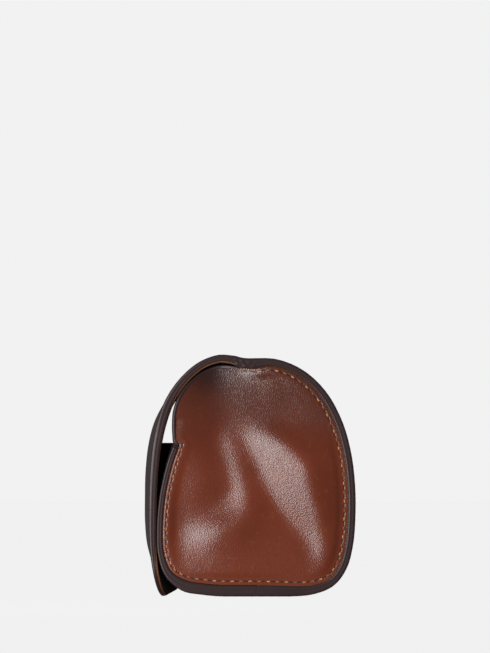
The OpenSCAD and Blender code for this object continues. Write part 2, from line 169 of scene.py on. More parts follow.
def face(u, x):
    """The strip's outer face in the side view: [y, z] at u and at x across the case."""
    w = smooth((1 - np.abs(x) / HALF_W) / MID_SHARE)[..., None]
    p = curve(STRIP_EDGE, u) * (1 - w) + curve(STRIP_MID, u) * w
    p[..., 1] = np.where(np.asarray(u) < CREASE_U, np.maximum(p[..., 1], 0), p[..., 1])
    return p


def strip_at(u, x, depth):
    """A point in the strip, depth mm in from its outer face."""
    u, x, depth = np.broadcast_arrays(np.asarray(u, float), np.asarray(x, float), np.asarray(depth, float))
    step = 0.05
    t = face(np.minimum(u + step, LAST_U), x) - face(np.maximum(u - step, 0), x)
    t /= np.linalg.norm(t, axis=-1, keepdims=True)
    p = face(u, x)
    return np.stack([x, p[..., 0] - t[..., 1] * depth, p[..., 1] + t[..., 0] * depth], -1)


# Length along the strip's side edge, from the mouth.
U_FINE = np.linspace(0, LAST_U, 7001)
EDGE_FINE = face(U_FINE, np.full_like(U_FINE, HALF_W))
S_FINE = np.concatenate([[0], np.cumsum(np.linalg.norm(np.diff(EDGE_FINE, axis=0), axis=1))])


def u_at(s):
    return np.interp(s, S_FINE, U_FINE)


def s_at(u):
    return np.interp(u, U_FINE, S_FINE)


CREASE_S = float(s_at(CREASE_U))
FLOOR_S = float(s_at(FLOOR_CUT_U))
TIP_S = float(S_FINE[-1])


def board_lift(u):
    """How far the board parts the floor's two layers."""
    front = smooth((u - BOARD_FROM_U) / BOARD_RAMP_FRONT)
    return (BOARD_T + GLUE) * front * smooth((BOARD_TO_U - u) / BOARD_RAMP_BACK)


def flap_share(s):
    """Share of full thickness, skived down over the flap's last quarter."""
    t = (s - CREASE_S) / (TIP_S - CREASE_S)
    return 1 + (TIP_SKIVE - 1) * smooth((t - 0.72) / 0.28)


def bunch(s):
    """Slack of the lining: bunched inside the crease, and swollen a little over the flap's bend."""
    swell = SWELL_T * np.exp(-((u_at(s) - SWELL_U) / SWELL_REACH) ** 2)
    return BUNCH_T * np.exp(-((s - CREASE_S + 2) / BUNCH_REACH) ** 2) + np.where(s > CREASE_S, swell, 0)


def share(s, x=HALF_W):
    """Share of full thickness, skived down towards the flap's tip and the front's side edges."""
    front = (1 - FRONT_SKIVE) * smooth((FRONT_SKIVE_U + 2 - u_at(s)) / 2)
    edge = 1 - smooth((HALF_W - np.abs(x)) / FRONT_SKIVE_W)
    return flap_share(s) * (1 - front * edge)


def inside(s, x=HALF_W):
    """Depth of the strip's inner face."""
    return STRIP_T * share(s, x) + board_lift(u_at(s)) + bunch(s)


def flap_half(s):
    """Half the strip's width, round at the flap's lower corners."""
    r = FLAP_CORNER_R
    d = r - np.clip(TIP_S - s, 0, r)
    return HALF_W - r + np.sqrt(np.maximum(r * r - d * d, 0))


# ---- meshes ----

def make(name, verts, faces, materials, face_materials=None):
    """A mesh object from points in mm."""
    mesh = bpy.data.meshes.new(name)
    mesh.from_pydata((np.asarray(verts, float) * MM).tolist(), [], [list(map(int, f)) for f in faces])
    for m in materials:
        mesh.materials.append(m)
    if face_materials is not None:
        mesh.polygons.foreach_set("material_index", np.asarray(face_materials, np.int32))
    mesh.polygons.foreach_set("use_smooth", [len(f) <= 4 for f in faces])
    mesh.update()
    obj = bpy.data.objects.new(name, mesh)
    bpy.context.scene.collection.objects.link(obj)
    return obj


def attribute(obj, name, values):
    layer = obj.data.attributes.new(name, "FLOAT", "POINT")
    layer.data.foreach_set("value", np.asarray(values, np.float32).ravel())


def grid_faces(rows, cols, start=0, closed=False, flip=False):
    """Quads of a grid of points, row by row; closed joins its last column to its first."""
    i, j = np.meshgrid(np.arange(rows - 1), np.arange(cols if closed else cols - 1), indexing="ij")
    i, j = i.ravel(), j.ravel()
    k = (j + 1) % cols
    q = np.stack([i * cols + j, (i + 1) * cols + j, (i + 1) * cols + k, i * cols + k], 1) + start
    return q[:, ::-1] if flip else q


def sheet_mesh(outer, inner):
    """Points and quads of a closed sheet between two grids, and which quads are on its outer face."""
    rows, cols = outer.shape[:2]
    n = rows * cols
    verts = np.concatenate([outer.reshape(-1, 3), inner.reshape(-1, 3)])
    ring = np.concatenate([
        np.arange(cols), (np.arange(1, rows)) * cols + cols - 1,
        (rows - 1) * cols + np.arange(cols - 2, -1, -1), np.arange(rows - 2, 0, -1) * cols])
    nxt = np.roll(ring, -1)
    rim = np.stack([ring, nxt, nxt + n, ring + n], 1)
    top = grid_faces(rows, cols)
    bottom = grid_faces(rows, cols, n, flip=True)
    faces = np.concatenate([top, bottom, rim])
    kind = np.repeat([0, 1, 2], [len(top), len(bottom), len(rim)])
    return verts, faces, kind


def tube_mesh(rings, closed_path=False):
    """Points and faces of a tube through rings of points, capped at its ends unless its path is closed."""
    rings = np.asarray(rings, float)
    n, m = rings.shape[:2]
    faces = grid_faces(n, m, closed=True).tolist()
    if closed_path:
        last = (n - 1) * m
        faces += [[last + j, j, (j + 1) % m, last + (j + 1) % m] for j in range(m)]
    else:
        faces += [list(range(m)), list(range((n - 1) * m, n * m))[::-1]]
    return rings.reshape(-1, 3), faces


def joined(parts):
    """Several (points, faces) meshes as one."""
    verts, faces, start = [], [], 0
    for v, f in parts:
        verts.append(v)
        faces += [[i + start for i in q] for q in f]
        start += len(v)
    return np.concatenate(verts), faces


# ---- materials ----

class Nodes:
    """Short-hand for building a material's nodes."""

    def __init__(self, name):
        self.material = bpy.data.materials.new(name)
        self.material.use_nodes = True
        self.tree = self.material.node_tree
        self.shader = self.tree.nodes["Principled BSDF"]

    def add(self, kind, **values):
        node = self.tree.nodes.new(kind)
        for key, value in values.items():
            if hasattr(node, key):
                setattr(node, key, value)
            else:
                node.inputs[key.replace("_", " ")].default_value = value
        return node

    def link(self, a, b):
        self.tree.links.new(a, b)

    def math(self, operation, a, b):
        node = self.add("ShaderNodeMath", operation=operation)
        for socket, value in zip(node.inputs, (a, b)):
            if isinstance(value, (int, float)):
                socket.default_value = value
            else:
                self.link(value, socket)
        return node.outputs[0]

    def mix(self, factor, a, b):
        node = self.add("ShaderNodeMix", data_type="RGBA")
        for socket, value in zip((node.inputs[0], node.inputs[6], node.inputs[7]), (factor, a, b)):
            if isinstance(value, (int, float, tuple)):
                socket.default_value = value
            else:
                self.link(value, socket)
        return node.outputs[2]

    def place(self):
        return self.add("ShaderNodeTexCoord").outputs["Object"]

    def noise(self, scale, detail=3.0, roughness=0.5):
        node = self.add("ShaderNodeTexNoise", Scale=scale, Detail=detail, Roughness=roughness)
        self.link(self.place(), node.inputs["Vector"])
        return node.outputs[0]

    def cells(self, scale, vector):
        node = self.add("ShaderNodeTexVoronoi", feature="DISTANCE_TO_EDGE", Scale=scale)
        self.link(vector, node.inputs["Vector"])
        return node.outputs["Distance"]

    def ramp(self, factor, low, high):
        node = self.add("ShaderNodeMapRange", interpolation_type="SMOOTHSTEP", From_Min=low, From_Max=high)
        self.link(factor, node.inputs["Value"])
        return node.outputs[0]

    def attribute(self, name):
        return self.add("ShaderNodeAttribute", attribute_name=name).outputs["Fac"]

    def bump(self, height, strength, distance, after=None):
        node = self.add("ShaderNodeBump", Strength=strength, Distance=distance)
        self.link(height, node.inputs["Height"])
        if after:
            self.link(after, node.inputs["Normal"])
        return node.outputs[0]

    def finish(self, color, normal=None, roughness=None, **values):
        self.link(color, self.shader.inputs["Base Color"])
        if normal:
            self.link(normal, self.shader.inputs["Normal"])
        if roughness:
            self.link(roughness, self.shader.inputs["Roughness"])
        for key, value in values.items():
            self.shader.inputs[key.replace("_", " ")].default_value = value
        return self.material


# Painted shade: the colour mixed into the gussets towards their top and in the fold under the flap.
PAINTED_SHADE_COLOR = (0.020, 0.008, 0.006, 1)
# Painted shade: the dark of the needle holes, which the shallow slots don't cast by themselves.
SLOT_PAINTED_SHADE = (0.018, 0.011, 0.010, 1)
GRAIN_WOBBLE = 0.0007    # metres that the pebbles' outlines wander


def leather(name, dark, light, rim, gloss, rough):
    """Pebbled leather, worn along its edges, with shade painted into its colour towards the top and in the
    fold under the flap, and shade painted into its needle slots.
    """
    n = Nodes(name)
    cloudy = n.noise(38, 4)
    fine = n.noise(420, 2)
    color = n.mix(n.ramp(cloudy, 0.3, 0.7), dark, light)
    color = n.mix(n.math("MULTIPLY", n.ramp(fine, 0.55, 0.85), 0.25), color, rim)
    color = n.mix(n.math("MULTIPLY", n.attribute("worn"), 0.55), color, rim)
    # Painted shade, darker towards the top and in the fold under the flap.
    color = n.mix(n.attribute("shade"), color, PAINTED_SHADE_COLOR)
    # Painted shade in the needle slots.
    color = n.mix(n.attribute("slot"), color, SLOT_PAINTED_SHADE)
    wobble = n.add("ShaderNodeVectorMath", operation="MULTIPLY_ADD")
    shift = n.add("ShaderNodeTexNoise", Scale=300.0, Detail=1.0)
    n.link(n.place(), shift.inputs["Vector"])
    n.link(shift.outputs["Color"], wobble.inputs[0])
    wobble.inputs[1].default_value = (GRAIN_WOBBLE, GRAIN_WOBBLE, GRAIN_WOBBLE)
    n.link(n.place(), wobble.inputs[2])
    pebble = n.ramp(n.cells(1050, wobble.outputs[0]), 0.0, 0.35)
    grain = n.math("ADD", pebble, n.math("MULTIPLY", n.noise(1500, 2), 0.6))
    normal = n.bump(grain, 0.28, 0.00012, n.bump(n.noise(160, 2), 0.12, 0.0004))
    rough = n.math("ADD", n.math("MULTIPLY", n.noise(60, 3), 0.08), rough)
    return n.finish(color, normal, rough, Specular_IOR_Level=gloss)


def edge_paint():
    """Dark purple-brown paint, brushed on in thin coats."""
    n = Nodes("edge_paint")
    color = n.mix(n.noise(140, 3), (0.032, 0.0155, 0.0165, 1), (0.047, 0.023, 0.024, 1))
    normal = n.bump(n.noise(500, 3), 0.15, 0.0002)
    rough = n.math("ADD", n.math("MULTIPLY", n.noise(90, 2), 0.12), 0.30)
    return n.finish(color, normal, rough, Specular_IOR_Level=0.30)


def lining_face():
    """Matt dark split leather with a short nap."""
    n = Nodes("lining_face")
    color = n.mix(n.noise(260, 4, 0.7), (0.045, 0.024, 0.016, 1), (0.095, 0.050, 0.032, 1))
    normal = n.bump(n.noise(1400, 4, 0.7), 0.5, 0.0002)
    return n.finish(color, normal, Roughness=0.85, Sheen_Weight=0.08)


def natural_edge():
    """The tan core of vegetable-tanned leather, left unpainted."""
    n = Nodes("natural_edge")
    color = n.mix(n.noise(700, 3), (0.16, 0.055, 0.018, 1), (0.30, 0.115, 0.035, 1))
    return n.finish(color, n.bump(n.noise(1200, 3), 0.4, 0.0002), Roughness=0.7)


def gusset_cloth():
    """Plain dark woven lining."""
    n = Nodes("gusset_cloth")
    wave = n.add("ShaderNodeTexWave", Scale=420.0, bands_direction="Y", Distortion=0.3)
    weft = n.add("ShaderNodeTexWave", Scale=420.0, bands_direction="Z", Distortion=0.3)
    for w in (wave, weft):
        n.link(n.place(), w.inputs["Vector"])
    weave = n.math("MULTIPLY", wave.outputs["Fac"], weft.outputs["Fac"])
    color = n.mix(weave, (0.008, 0.006, 0.006, 1), (0.030, 0.022, 0.020, 1))
    return n.finish(color, n.bump(weave, 0.5, 0.0002), Roughness=0.8, Sheen_Weight=0.15)


def waxed_thread(name, low, high):
    """Waxed twisted thread, each stitch with its own tint."""
    n = Nodes(name)
    color = n.mix(n.attribute("tint"), low, high)
    color = n.mix(n.math("MULTIPLY", n.noise(900, 2), 0.4), color, low)
    fibre = n.noise(4200, 2)
    return n.finish(color, n.bump(fibre, 0.5, 0.0001), Roughness=0.5, Sheen_Weight=0.2)


def plain(name, low, high, **values):
    """A slightly cloudy, slightly rough surface for the hidden pieces."""
    n = Nodes(name)
    color = n.mix(n.noise(220, 3), low, high)
    return n.finish(color, n.bump(n.noise(900, 3), 0.2, 0.0001), **values)


LEATHER = leather("strip_leather", (0.030, 0.015, 0.016, 1), (0.043, 0.022, 0.022, 1),
                  (0.055, 0.030, 0.030, 1), gloss=0.22, rough=0.36)
GUSSET = leather("gusset_leather", (0.158, 0.0285, 0.011, 1), (0.196, 0.0375, 0.0145, 1),
                 (0.34, 0.11, 0.038, 1), gloss=0.48, rough=0.235)
PAINT = edge_paint()
LINING = lining_face()
NATURAL = natural_edge()
CLOTH = gusset_cloth()
THREAD = waxed_thread("waxed_thread", (0.34, 0.11, 0.030, 1), (0.95, 0.50, 0.17, 1))
DARK_THREAD = waxed_thread("dark_thread", (0.020, 0.011, 0.010, 1), (0.045, 0.026, 0.022, 1))
BOARD = plain("board", (0.10, 0.085, 0.07, 1), (0.16, 0.14, 0.115, 1), Roughness=0.8)
NICKEL = plain("nickel", (0.52, 0.51, 0.49, 1), (0.62, 0.61, 0.58, 1), Roughness=0.28, Metallic=1.0)


# ---- seams: where the needle slots and the humps of thread come ----

FIRST_STITCH = 0.6       # stitches from the mouth to the seam's first one
PINCH = 0.04             # how deep the thread pulls into a gusset
SLOT_DEPTH = 0.1
NO_SEAM = 9.0            # a distance from the seam at which nothing of it is left


def seam_slots(phase, across):
    """Share of a needle slot at a phase counted in stitches, across mm from the seam's line."""
    along = np.abs(phase - np.round(phase))          # 0 at a stitch's middle, 0.5 between stitches
    return smooth((along - 0.20) / 0.12) * np.exp(-(across / 0.30) ** 2)


def seam_groove(phase, across, depth=PINCH):
    """Depth of the pinch that the thread pulls into the leather."""
    return depth * np.exp(-(across / 0.8) ** 2) + SLOT_DEPTH * seam_slots(phase, across)


def dense(start, end, step, extra=()):
    """Rows from start to end at about one step, with extra ones put in."""
    rows = np.linspace(start, end, max(int(round(abs(end - start) / step)) + 1, 2))
    return np.unique(np.round(np.concatenate([rows, [e for e in extra if start < e < end]]), 4))


SEAM_X = HALF_W - MARGIN
SEAM_COLUMNS = [SEAM_X + d for d in (-1.4, -0.8, -0.45, -0.2, 0, 0.2, 0.45, 0.8, 1.4)]
PLAIN_COLUMNS = np.linspace(-74, 74, 45).round(2)
COLUMNS = np.array(sorted({
    0.0, *PLAIN_COLUMNS, *SEAM_COLUMNS, *[-c for c in SEAM_COLUMNS], -HALF_W, HALF_W}))
ROW_STEP = PITCH / 8
EDGE_STEP = 0.8


def outline_distance(s, x):
    """How far a point of the flap is in from its edge, and how far round its seam it comes, in mm."""
    r = FLAP_CORNER_R - MARGIN
    cs, cx = TIP_S - FLAP_CORNER_R, HALF_W - FLAP_CORNER_R
    a, b = s - cs, np.abs(x) - cx
    corner = (a > 0) & (b > 0)
    below = (a > 0) & ~corner
    inset = np.where(corner, FLAP_CORNER_R - np.hypot(a, b), np.where(below, TIP_S - s, HALF_W - np.abs(x)))
    arc = np.arctan2(np.maximum(a, 0), np.maximum(b, 1e-6)) * r
    along = np.where(corner, cs + arc, np.where(below, cs + r * math.pi / 2 + (cx - np.abs(x)), s))
    return inset, along


def strip_rows(s, trim_side, trim_end_low, trim_end_high, start, end):
    """A grid of (s, x) over the strip between two lengths, trimmed back from its edges."""
    s = np.clip(s, start + trim_end_low, end - trim_end_high)
    half = flap_half(s) - trim_side
    x = COLUMNS[None, :] / HALF_W * half[:, None]
    return np.broadcast_to(s[:, None], x.shape), x


def face_depth(s, x):
    """Depth of the leather's outer face."""
    return 0 * s


def glued_depth(s, x):
    """Depth of the leather's inner face, which is glued down."""
    return LEATHER_T * share(s, x)


def lining_depth(s, x):
    """Depth of the lining's glued face."""
    return (LEATHER_T + GLUE) * share(s, x) + board_lift(u_at(s))


def skin(name, start, end, layer, outer_depth, inner_depth, trims, materials, seam=None, waves=0.0):
    """One layer of the strip between two lengths along it."""
    tip = [TIP_S - FLAP_CORNER_R * (1 - math.sin(a)) for a in np.linspace(0.1, 1.45, 24)]
    s, x = strip_rows(dense(start, end, ROW_STEP if seam else 1.6, tip), *trims, start, end)
    u = u_at(s)
    a = strip_at(u, x, outer_depth(s, x))
    b = strip_at(u, x, inner_depth(s, x))
    slot = np.zeros(s.shape)
    worn = np.zeros(s.shape)
    if seam:
        phase, across, worn = seam(s, x)
        slot = seam_slots(phase, across)
        inward = (b - a) / np.linalg.norm(b - a, axis=-1, keepdims=True)
        a += inward * seam_groove(phase, across, OUTER_SINK)[..., None]
    verts, faces, kind = sheet_mesh(a, b)
    obj = make(name + layer, verts, faces, materials, kind)
    pad = np.zeros(slot.size)
    # Where shade is painted into the needle slots.
    attribute(obj, "slot", np.concatenate([slot.ravel(), pad]))
    attribute(obj, "worn", np.concatenate([worn.ravel(), pad]))
    return obj


def body_seam(s, x):
    """Side seams on the body, and the mouth's own row."""
    side = HALF_W - np.abs(x) - MARGIN
    mouth = s - MARGIN
    near_mouth = (np.abs(mouth) < np.abs(side)) & (np.abs(x) < HALF_W - 1.5 * MARGIN)
    across = np.where(near_mouth, mouth, side)
    phase = np.where(near_mouth, x / PITCH + 0.5, s / PITCH - FIRST_STITCH)
    across = np.where(~near_mouth & (s > CREASE_S - 1), NO_SEAM, across)
    return phase, across, smooth(1 - (HALF_W - np.abs(x)) / 2.2)


def flap_seam(s, x):
    """Side seams up the back, and the row round the flap."""
    inset, along = outline_distance(s, x)
    on_flap = s > CREASE_S + 2
    across = np.where(on_flap, inset - MARGIN, HALF_W - np.abs(x) - MARGIN)
    across = np.where((s > CREASE_S - 2) & (s < CREASE_S + 3), NO_SEAM, across)
    phase = np.where(on_flap, (along - CREASE_S - MARGIN) / PITCH, s / PITCH - FIRST_STITCH)
    return phase, across, smooth(1 - inset / 2.2)


def build_strip():
    """The strip's leather and lining, each cut in two under the floor."""
    front, back = ("front_and_floor_", 0, FLOOR_S), ("back_and_flap_", FLOOR_S, TIP_S)
    front_trims = (LAYER_TRIM, LAYER_TRIM, 0)
    leathers = [LEATHER, LEATHER, PAINT]
    outer_front = skin(*front, "leather", face_depth, glued_depth, front_trims, leathers, body_seam)
    outer_back = skin(*back, "leather", face_depth, glued_depth, (LAYER_TRIM, 0, LAYER_TRIM), leathers,
                      flap_seam)
    inner_front = skin(*front, "lining", lining_depth, inside, front_trims, [LINING, LINING, PAINT])
    inner_back = skin(*back, "lining", lining_depth, inside, (LINING_INSET, 0, LINING_INSET),
                      [LINING, LINING, NATURAL])
    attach(outer_front, "case_body")
    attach(inner_front, "case_body")
    across_crease(outer_back)
    across_crease(inner_back)
    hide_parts("wrap_leather")
    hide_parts("wrap_leather", "flap_leather")
    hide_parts("wrap_lining")
    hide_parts("wrap_lining", "flap_lining")


def across_crease(piece):
    """Bakes the piece's transform into its points; it is attached to no body, so it stays put as the flap
    turns.
    """
    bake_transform(piece)


def bare_edge(s):
    """Thickness of the lining's edge left unpainted: only near the crease and near the tip."""
    t = (s - CREASE_S) / (TIP_S - CREASE_S)
    near_crease = smooth((t - 0.015) / 0.04) * smooth((0.36 - t) / 0.08)
    return NATURAL_T * flap_share(s) * (0.75 * near_crease + 2.7 * smooth((t - 0.78) / 0.2))


def bevel(s):
    """How far the flap's outer corner is rubbed down, most where it comes over the mouth."""
    z = face(u_at(s), np.full_like(s, HALF_W))[:, 1]
    return np.where(s > CREASE_S, smooth((84 - z) / 12) * (0.25 + 0.75 * smooth((z - 22) / 36)), 0)


def edge_section(s):
    """Outline of the painted edge at lengths s: (outward, depth) pairs round both layers."""
    t = inside(s)
    bare = bare_edge(s)
    b = bevel(s)
    k = t / STRIP_T
    zero = 0 * s
    crumple = np.exp(-((s - CREASE_S - 1) / 4.5) ** 2)
    fold = crumple * (0.16 * np.sin(2.1 * s) + 0.10 * np.sin(3.7 * s + 1))
    dip = crumple * (0.10 * np.sin(2.9 * s + 2) - 0.08)
    pairs = [
        (zero - 0.9, zero - 0.05), (zero - 0.5, zero - 0.01), (zero - 0.2 - 0.15 * b, 0.14 - 0.04 * b),
        (zero - 0.03 - 0.22 * b, 0.45 * k - 0.12 * b), (zero + dip, 0.9 * k + 0.3 * b),
        (zero - 0.01 + fold, 1.35 * k), (zero - 0.05 + fold, 1.66 * k),
        (zero - 0.05 - dip, t - 1.56 * k), (zero - 0.01 - dip, t - 1.25 * k),
        (zero - fold, t - 0.9 * k - bare * 0.3),
        (zero - 0.05 - fold, t - 0.45 * k - bare * 0.6), (zero - 0.22, t - 0.15 * k - bare * 0.85),
        (zero - 0.5, t - bare + 0.01), (zero - 0.9, t - bare + 0.05),
    ]
    return np.stack([np.stack(p, -1) for p in pairs], 1)


END_SHARE = 0.01


def near_end(end, next_ring):
    """An extra ring close to an end, so that the end's flat face doesn't shade the side."""
    return (end * (1 - END_SHARE) + next_ring * END_SHARE)[None]


def edge_bead(name, path, body=None):
    """A painted edge swept along a path of (s, x) with its outward direction (ds, dx)."""
    s, x, ds, dx = (np.asarray(column, float) for column in zip(*path))
    section = edge_section(np.clip(s, 0, TIP_S))
    rs = s[:, None] + ds[:, None] * section[..., 0]
    rx = x[:, None] + dx[:, None] * section[..., 0]
    rings = strip_at(u_at(rs), rx, section[..., 1])
    rings = np.concatenate([rings[:1], near_end(rings[0], rings[1]), rings[1:-1],
                            near_end(rings[-1], rings[-2]), rings[-1:]])
    verts, faces = tube_mesh(rings[:, ::-1])
    obj = make(name, verts, faces, [PAINT])
    if body:
        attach(obj, body)
    else:
        across_crease(obj)
    return obj


def side_path(start, end, sign):
    """Down one side edge from one length to another, in the form that edge_bead takes."""
    lengths = dense(min(start, end), max(start, end), EDGE_STEP)
    path = [(s, sign * HALF_W, 0, sign) for s in lengths]
    return path if start < end else path[::-1]


def corner_path(s0, x0, r, a0, a1, sign, steps):
    """Round a corner of radius r from one angle to another."""
    return [(s0 + r * math.sin(a), sign * (x0 + r * math.cos(a)), math.sin(a), sign * math.cos(a))
            for a in np.linspace(a0, a1, steps)]


def front_edge_path():
    """From under the floor up one side, along the mouth and down the other, tucked in at both ends."""
    r = MOUTH_CORNER_R
    quarter = math.pi / 2
    mouth = [(0, x, -1, 0) for x in np.linspace(-(HALF_W - r), HALF_W - r, 160)][1:-1]
    under = [(FLOOR_S + 2 - 0.5 * k, HALF_W - 0.03, 0, 1) for k in range(5)]
    return ([(s, -x, 0, -dx) for s, x, _, dx in under]
            + side_path(FLOOR_S, r, -1)[1:]
            + corner_path(r, HALF_W - r, r, 0, -quarter, -1, 8) + mouth
            + corner_path(r, HALF_W - r, r, -quarter, 0, 1, 8)
            + side_path(r, FLOOR_S, 1)[:-1] + under[::-1])


def flap_edge_path():
    """From under the floor up the back and round the flap."""
    r = FLAP_CORNER_R
    quarter = math.pi / 2
    tip = [(TIP_S, x, 1, 0) for x in np.linspace(HALF_W - r, -(HALF_W - r), 150)][1:-1]
    return (side_path(FLOOR_S, TIP_S - r, 1)
            + corner_path(TIP_S - r, HALF_W - r, r, 0, quarter, 1, 24)[1:] + tip
            + corner_path(TIP_S - r, HALF_W - r, r, quarter, 0, -1, 24)[:-1]
            + side_path(TIP_S - r, FLOOR_S, -1))


def build_edges():
    edge_bead("front_edge_paint", front_edge_path(), "case_body")
    edge_bead("back_and_flap_edge_paint", flap_edge_path()[::-1])


# ---- the gussets ----

def resampled(path, step):
    """The same closed path at even steps, with the length along it."""
    closed = np.vstack([path, path[:1]])
    lengths = np.concatenate([[0], np.cumsum(np.linalg.norm(np.diff(closed, axis=0), axis=1))])
    count = int(round(lengths[-1] / step))
    s = np.arange(count) * lengths[-1] / count
    return np.stack([np.interp(s, lengths, closed[:, i]) for i in range(2)], 1), s


RIM_END_U = CREASE_U - 0.4
RIM_U = np.linspace(0, RIM_END_U, 1600)
RIM_SEWN = strip_at(RIM_U, HALF_W, inside(s_at(RIM_U)) + 2 * GLUE)[:, 1:]
RIM_FREE = curve(GUSSET_FREE, np.linspace(0, len(GUSSET_FREE) - 1, 400))
SEWN_L = float(np.linalg.norm(np.diff(RIM_SEWN, axis=0), axis=1).sum())
RIM_L = SEWN_L + float(np.linalg.norm(np.diff(RIM_FREE, axis=0), axis=1).sum())
LAST_STITCHES = 7.0      # the seam ends this far past the crease, on the gusset's own edge


def rim_and_normals(step):
    """A gusset's rim at even steps, with inward normals smoothed so that no crease runs in from a corner."""
    rim, s = resampled(np.vstack([RIM_SEWN, RIM_FREE]), step)
    for _ in range(3):
        rim = (np.roll(rim, 1, 0) + 2 * rim + np.roll(rim, -1, 0)) / 4
    t = np.roll(rim, -3, 0) - np.roll(rim, 3, 0)
    t /= np.linalg.norm(t, axis=1, keepdims=True)
    normal = np.stack([-t[:, 1], t[:, 0]], 1)
    for _ in range(int(25 / step)):
        normal = (np.roll(normal, 1, 0) + 2 * normal + np.roll(normal, -1, 0)) / 4
    return rim, normal / np.linalg.norm(normal, axis=1, keepdims=True), s


def folds(y, z):
    """Height between the control points of FOLDS, straight from each to the next."""
    rows = np.array(FOLDS, float)
    count = rows.shape[1]
    knots = curve(rows.reshape(len(rows), -1), np.clip(z / FOLDS_STEP, 0, len(rows) - 1))
    knots = knots.reshape(np.shape(z) + (count, 2))
    total = knots[..., 0, 1]
    for k in range(count - 1):
        (y0, h0), (y1, h1) = np.moveaxis(knots[..., k, :], -1, 0), np.moveaxis(knots[..., k + 1, :], -1, 0)
        total = total + (h1 - h0) * np.clip((y - y0) / (y1 - y0), 0, 1)
    return total


def relief(p):
    """How far a gusset's free face stands out of its margin at [y, z]."""
    total = 0
    for dy, wy in zip(SOFT_Y, (1, 2, 3, 2, 1)):
        for dz, wz in zip(SOFT_Z, (1, 2, 1)):
            total = total + wy * wz * folds(p[..., 0] + dy, p[..., 1] + dz)
    return total / 36


GUSSET_INSETS = [0, 0.12, 0.3, 0.6, 0.9, 1.15, 1.35, 1.5, 1.6, 1.7, 1.85, 2.05, 2.4, 2.9, 3.5, 4.2]
GUSSET_RINGS = 46
PLAIN_INSETS = [0, 1.2, 2.4, 4.2]
PLAIN_RINGS = 30


def painted_shade(p):
    """How much shade is painted into the leather at [y, z]: darker towards its top, and most in the fold under
    the flap, where the flap casts its shadow.
    """
    fold = np.exp(-((p[..., 0] + 18) / 12) ** 2 - ((p[..., 1] - 101) / 9) ** 2)
    return 0.46 * smooth((p[..., 1] - 60) / 32) + 0.46 * fold


def gusset_grid(step=PITCH / 8, all_insets=GUSSET_INSETS, rings=GUSSET_RINGS):
    """Rings of [y, z] from a gusset's rim to its middle, with how far each point is in from the rim."""
    rim, normal, s = rim_and_normals(step)
    margin = [rim + normal * d for d in all_insets]
    shares = np.linspace(1, 0.03, rings + 1)[1:]
    points = np.stack(margin + [GUSSET_MID + (margin[-1] - GUSSET_MID) * t for t in shares])
    reach = np.linalg.norm(margin[-1] - GUSSET_MID, axis=1)
    insets = np.stack([np.full(len(rim), d) for d in all_insets]
                      + [all_insets[-1] + reach * (1 - t) for t in shares])
    return points, insets, s


def sewn_share(s):
    """1 where a gusset's rim is sewn down and 0 along its free edge."""
    return smooth((SEWN_L + 9 - s) / 20) + smooth((s - RIM_L + 3) / 3)


def gusset_height(points, insets, s):
    """The folds, held flat along the sewn margin."""
    held = sewn_share(s)[None, :] * (1 - smooth((insets - SEAM_MARGIN) / SEAM_SLOPE))
    return relief(points) * (1 - held)


def gusset_layer(name, side, outer, thickness, materials):
    """One layer of a gusset, outer mm in from its face; the outermost one carries the seam."""
    seamed = outer == 0
    points, insets, s = gusset_grid() if seamed else gusset_grid(PITCH / 2, PLAIN_INSETS, PLAIN_RINGS)
    height = gusset_height(points, insets, s)
    slot = np.zeros(insets.shape)
    worn = np.zeros(insets.shape)
    back = HALF_W - GUSSET_RECESS - outer - thickness + height
    if seamed:
        phase = np.broadcast_to((s / PITCH - FIRST_STITCH)[None, :], insets.shape)
        across = np.where((s < SEWN_L + LAST_STITCHES)[None, :], insets - SEAM_IN, NO_SEAM)
        height = height - seam_groove(phase, across) - 0.35 * np.clip(1 - insets / 0.6, 0, 1) ** 2
        slot = seam_slots(phase, across)
        worn = smooth(1 - insets / 0.7)
    front = HALF_W - GUSSET_RECESS - outer + height
    rows, cols = insets.shape
    n = rows * cols
    middle = float(relief(GUSSET_MID[None])[0])
    a = np.concatenate([front[..., None], points], -1).reshape(-1, 3)
    b = np.concatenate([back[..., None], points], -1).reshape(-1, 3)
    centre_x = HALF_W - GUSSET_RECESS - outer + middle
    verts = np.concatenate([a, b, [[centre_x, *GUSSET_MID], [centre_x - thickness, *GUSSET_MID]]])
    around = np.arange(cols)
    after = (around + 1) % cols
    last = n - cols
    faces = np.concatenate([
        grid_faces(rows, cols, closed=True, flip=True), grid_faces(rows, cols, n, closed=True),
        np.stack([around, after, after + n, around + n], 1)]).tolist()
    faces += np.stack([last + around, last + after, np.full(cols, 2 * n)], 1).tolist()
    faces += np.stack([n + last + after, n + last + around, np.full(cols, 2 * n + 1)], 1).tolist()
    if side < 0:
        verts = verts * [-1, 1, 1]
        faces = [f[::-1] for f in faces]
    obj = make(name, verts, faces, materials)
    pad = np.zeros(n + 2)
    # Where shade is painted into the needle slots.
    attribute(obj, "slot", np.concatenate([slot.ravel(), pad]))
    attribute(obj, "worn", np.concatenate([worn.ravel(), pad]))
    # How much painted shade each point gets.
    attribute(obj, "shade", np.concatenate([painted_shade(points).ravel(), pad]))
    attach(obj, "case_body")
    return obj


EDGE_TURN = [[0.1, -0.5], [0.4, -1.0], [0.9, -1.5], [1.5, -2.0], [2.1, -2.5]]   # on over the strip's mouth


